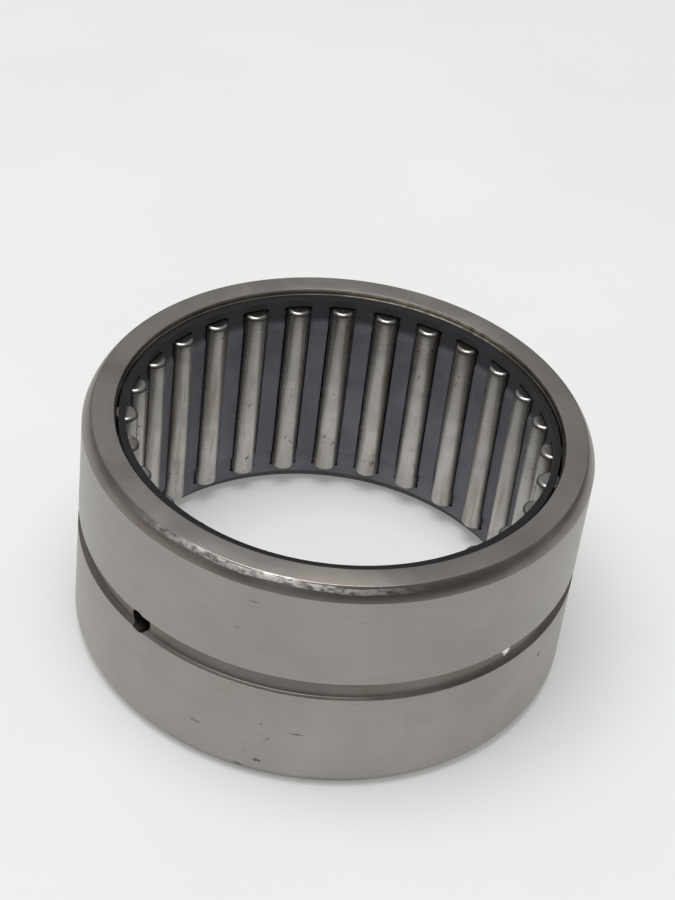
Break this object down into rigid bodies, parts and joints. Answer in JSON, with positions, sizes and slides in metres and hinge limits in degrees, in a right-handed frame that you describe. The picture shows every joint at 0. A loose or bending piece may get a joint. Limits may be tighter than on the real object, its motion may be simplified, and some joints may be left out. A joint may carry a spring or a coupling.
{
  "type": "needle roller bearing",
  "caption": "Needle roller bearing: ribbed machined outer ring with an oil groove and hole, and a cage of needle rollers that run directly on a shaft.",
  "frame": {"origin": "centre of the lower end face of the outer ring", "axes": "+Z along the bearing axis, from the lower end face to the upper one; +X and +Y across it"},
  "size_m": [0.0888, 0.0888, 0.0444],
  "materials": {
    "ring_steel": "ground satin bearing steel",
    "cage_steel": "dark blue-black phosphated sheet steel",
    "roller_steel": "finely ground, oiled bearing steel"
  },
  "bodies": {
    "outer_ring": {"outer_ring": "ring_steel"},
    "cage": {"cage": "cage_steel"},
    "needle_roller_01": {"needle_roller_01": "roller_steel"},
    "needle_roller_02": {"needle_roller_02": "roller_steel"},
    "needle_roller_03": {"needle_roller_03": "roller_steel"},
    "needle_roller_04": {"needle_roller_04": "roller_steel"},
    "needle_roller_05": {"needle_roller_05": "roller_steel"},
    "needle_roller_06": {"needle_roller_06": "roller_steel"},
    "needle_roller_07": {"needle_roller_07": "roller_steel"},
    "needle_roller_08": {"needle_roller_08": "roller_steel"},
    "needle_roller_09": {"needle_roller_09": "roller_steel"},
    "needle_roller_10": {"needle_roller_10": "roller_steel"},
    "needle_roller_11": {"needle_roller_11": "roller_steel"},
    "needle_roller_12": {"needle_roller_12": "roller_steel"},
    "needle_roller_13": {"needle_roller_13": "roller_steel"},
    "needle_roller_14": {"needle_roller_14": "roller_steel"},
    "needle_roller_15": {"needle_roller_15": "roller_steel"},
    "needle_roller_16": {"needle_roller_16": "roller_steel"},
    "needle_roller_17": {"needle_roller_17": "roller_steel"},
    "needle_roller_18": {"needle_roller_18": "roller_steel"},
    "needle_roller_19": {"needle_roller_19": "roller_steel"},
    "needle_roller_20": {"needle_roller_20": "roller_steel"},
    "needle_roller_21": {"needle_roller_21": "roller_steel"},
    "needle_roller_22": {"needle_roller_22": "roller_steel"},
    "needle_roller_23": {"needle_roller_23": "roller_steel"},
    "needle_roller_24": {"needle_roller_24": "roller_steel"},
    "needle_roller_25": {"needle_roller_25": "roller_steel"},
    "needle_roller_26": {"needle_roller_26": "roller_steel"},
    "needle_roller_27": {"needle_roller_27": "roller_steel"},
    "needle_roller_28": {"needle_roller_28": "roller_steel"}
  },
  "joints": [
    {"name": "cage_spin", "type": "hinge", "parent": "outer_ring", "child": "cage", "pos_m": [0, 0, 0.02307], "axis": [0, 0, 1], "continuous": true},
    {"name": "roller_01_spin", "type": "hinge", "parent": "cage", "child": "needle_roller_01", "pos_m": [0.03716, 0.00227, 0.02307], "axis": [0, 0, 1], "continuous": true},
    {"name": "roller_02_spin", "type": "hinge", "parent": "cage", "child": "needle_roller_02", "pos_m": [0.03572, 0.01048, 0.02307], "axis": [0, 0, 1], "continuous": true},
    {"name": "roller_03_spin", "type": "hinge", "parent": "cage", "child": "needle_roller_03", "pos_m": [0.03249, 0.01817, 0.02307], "axis": [0, 0, 1], "continuous": true},
    {"name": "roller_04_spin", "type": "hinge", "parent": "cage", "child": "needle_roller_04", "pos_m": [0.02763, 0.02494, 0.02307], "axis": [0, 0, 1], "continuous": true},
    {"name": "roller_05_spin", "type": "hinge", "parent": "cage", "child": "needle_roller_05", "pos_m": [0.02139, 0.03047, 0.02307], "axis": [0, 0, 1], "continuous": true},
    {"name": "roller_06_spin", "type": "hinge", "parent": "cage", "child": "needle_roller_06", "pos_m": [0.01407, 0.03446, 0.02307], "axis": [0, 0, 1], "continuous": true},
    {"name": "roller_07_spin", "type": "hinge", "parent": "cage", "child": "needle_roller_07", "pos_m": [0.00605, 0.03673, 0.02307], "axis": [0, 0, 1], "continuous": true},
    {"name": "roller_08_spin", "type": "hinge", "parent": "cage", "child": "needle_roller_08", "pos_m": [-0.00227, 0.03716, 0.02307], "axis": [0, 0, 1], "continuous": true},
    {"name": "roller_09_spin", "type": "hinge", "parent": "cage", "child": "needle_roller_09", "pos_m": [-0.01048, 0.03572, 0.02307], "axis": [0, 0, 1], "continuous": true},
    {"name": "roller_10_spin", "type": "hinge", "parent": "cage", "child": "needle_roller_10", "pos_m": [-0.01817, 0.03249, 0.02307], "axis": [0, 0, 1], "continuous": true},
    {"name": "roller_11_spin", "type": "hinge", "parent": "cage", "child": "needle_roller_11", "pos_m": [-0.02494, 0.02763, 0.02307], "axis": [0, 0, 1], "continuous": true},
    {"name": "roller_12_spin", "type": "hinge", "parent": "cage", "child": "needle_roller_12", "pos_m": [-0.03047, 0.02139, 0.02307], "axis": [0, 0, 1], "continuous": true},
    {"name": "roller_13_spin", "type": "hinge", "parent": "cage", "child": "needle_roller_13", "pos_m": [-0.03446, 0.01407, 0.02307], "axis": [0, 0, 1], "continuous": true},
    {"name": "roller_14_spin", "type": "hinge", "parent": "cage", "child": "needle_roller_14", "pos_m": [-0.03673, 0.00605, 0.02307], "axis": [0, 0, 1], "continuous": true},
    {"name": "roller_15_spin", "type": "hinge", "parent": "cage", "child": "needle_roller_15", "pos_m": [-0.03716, -0.00227, 0.02307], "axis": [0, 0, 1], "continuous": true},
    {"name": "roller_16_spin", "type": "hinge", "parent": "cage", "child": "needle_roller_16", "pos_m": [-0.03572, -0.01048, 0.02307], "axis": [0, 0, 1], "continuous": true},
    {"name": "roller_17_spin", "type": "hinge", "parent": "cage", "child": "needle_roller_17", "pos_m": [-0.03249, -0.01817, 0.02307], "axis": [0, 0, 1], "continuous": true},
    {"name": "roller_18_spin", "type": "hinge", "parent": "cage", "child": "needle_roller_18", "pos_m": [-0.02763, -0.02494, 0.02307], "axis": [0, 0, 1], "continuous": true},
    {"name": "roller_19_spin", "type": "hinge", "parent": "cage", "child": "needle_roller_19", "pos_m": [-0.02139, -0.03047, 0.02307], "axis": [0, 0, 1], "continuous": true},
    {"name": "roller_20_spin", "type": "hinge", "parent": "cage", "child": "needle_roller_20", "pos_m": [-0.01407, -0.03446, 0.02307], "axis": [0, 0, 1], "continuous": true},
    {"name": "roller_21_spin", "type": "hinge", "parent": "cage", "child": "needle_roller_21", "pos_m": [-0.00605, -0.03673, 0.02307], "axis": [0, 0, 1], "continuous": true},
    {"name": "roller_22_spin", "type": "hinge", "parent": "cage", "child": "needle_roller_22", "pos_m": [0.00227, -0.03716, 0.02307], "axis": [0, 0, 1], "continuous": true},
    {"name": "roller_23_spin", "type": "hinge", "parent": "cage", "child": "needle_roller_23", "pos_m": [0.01048, -0.03572, 0.02307], "axis": [0, 0, 1], "continuous": true},
    {"name": "roller_24_spin", "type": "hinge", "parent": "cage", "child": "needle_roller_24", "pos_m": [0.01817, -0.03249, 0.02307], "axis": [0, 0, 1], "continuous": true},
    {"name": "roller_25_spin", "type": "hinge", "parent": "cage", "child": "needle_roller_25", "pos_m": [0.02494, -0.02763, 0.02307], "axis": [0, 0, 1], "continuous": true},
    {"name": "roller_26_spin", "type": "hinge", "parent": "cage", "child": "needle_roller_26", "pos_m": [0.03047, -0.02139, 0.02307], "axis": [0, 0, 1], "continuous": true},
    {"name": "roller_27_spin", "type": "hinge", "parent": "cage", "child": "needle_roller_27", "pos_m": [0.03446, -0.01407, 0.02307], "axis": [0, 0, 1], "continuous": true},
    {"name": "roller_28_spin", "type": "hinge", "parent": "cage", "child": "needle_roller_28", "pos_m": [0.03673, -0.00605, 0.02307], "axis": [0, 0, 1], "continuous": true}
  ],
  "couplings": [
    {"joint": "roller_01_spin", "follows": "cage_spin", "ratio": -17.185},
    {"joint": "roller_02_spin", "follows": "cage_spin", "ratio": -17.185},
    {"joint": "roller_03_spin", "follows": "cage_spin", "ratio": -17.185},
    {"joint": "roller_04_spin", "follows": "cage_spin", "ratio": -17.185},
    {"joint": "roller_05_spin", "follows": "cage_spin", "ratio": -17.185},
    {"joint": "roller_06_spin", "follows": "cage_spin", "ratio": -17.185},
    {"joint": "roller_07_spin", "follows": "cage_spin", "ratio": -17.185},
    {"joint": "roller_08_spin", "follows": "cage_spin", "ratio": -17.185},
    {"joint": "roller_09_spin", "follows": "cage_spin", "ratio": -17.185},
    {"joint": "roller_10_spin", "follows": "cage_spin", "ratio": -17.185},
    {"joint": "roller_11_spin", "follows": "cage_spin", "ratio": -17.185},
    {"joint": "roller_12_spin", "follows": "cage_spin", "ratio": -17.185},
    {"joint": "roller_13_spin", "follows": "cage_spin", "ratio": -17.185},
    {"joint": "roller_14_spin", "follows": "cage_spin", "ratio": -17.185},
    {"joint": "roller_15_spin", "follows": "cage_spin", "ratio": -17.185},
    {"joint": "roller_16_spin", "follows": "cage_spin", "ratio": -17.185},
    {"joint": "roller_17_spin", "follows": "cage_spin", "ratio": -17.185},
    {"joint": "roller_18_spin", "follows": "cage_spin", "ratio": -17.185},
    {"joint": "roller_19_spin", "follows": "cage_spin", "ratio": -17.185},
    {"joint": "roller_20_spin", "follows": "cage_spin", "ratio": -17.185},
    {"joint": "roller_21_spin", "follows": "cage_spin", "ratio": -17.185},
    {"joint": "roller_22_spin", "follows": "cage_spin", "ratio": -17.185},
    {"joint": "roller_23_spin", "follows": "cage_spin", "ratio": -17.185},
    {"joint": "roller_24_spin", "follows": "cage_spin", "ratio": -17.185},
    {"joint": "roller_25_spin", "follows": "cage_spin", "ratio": -17.185},
    {"joint": "roller_26_spin", "follows": "cage_spin", "ratio": -17.185},
    {"joint": "roller_27_spin", "follows": "cage_spin", "ratio": -17.185},
    {"joint": "roller_28_spin", "follows": "cage_spin", "ratio": -17.185}
  ]
}
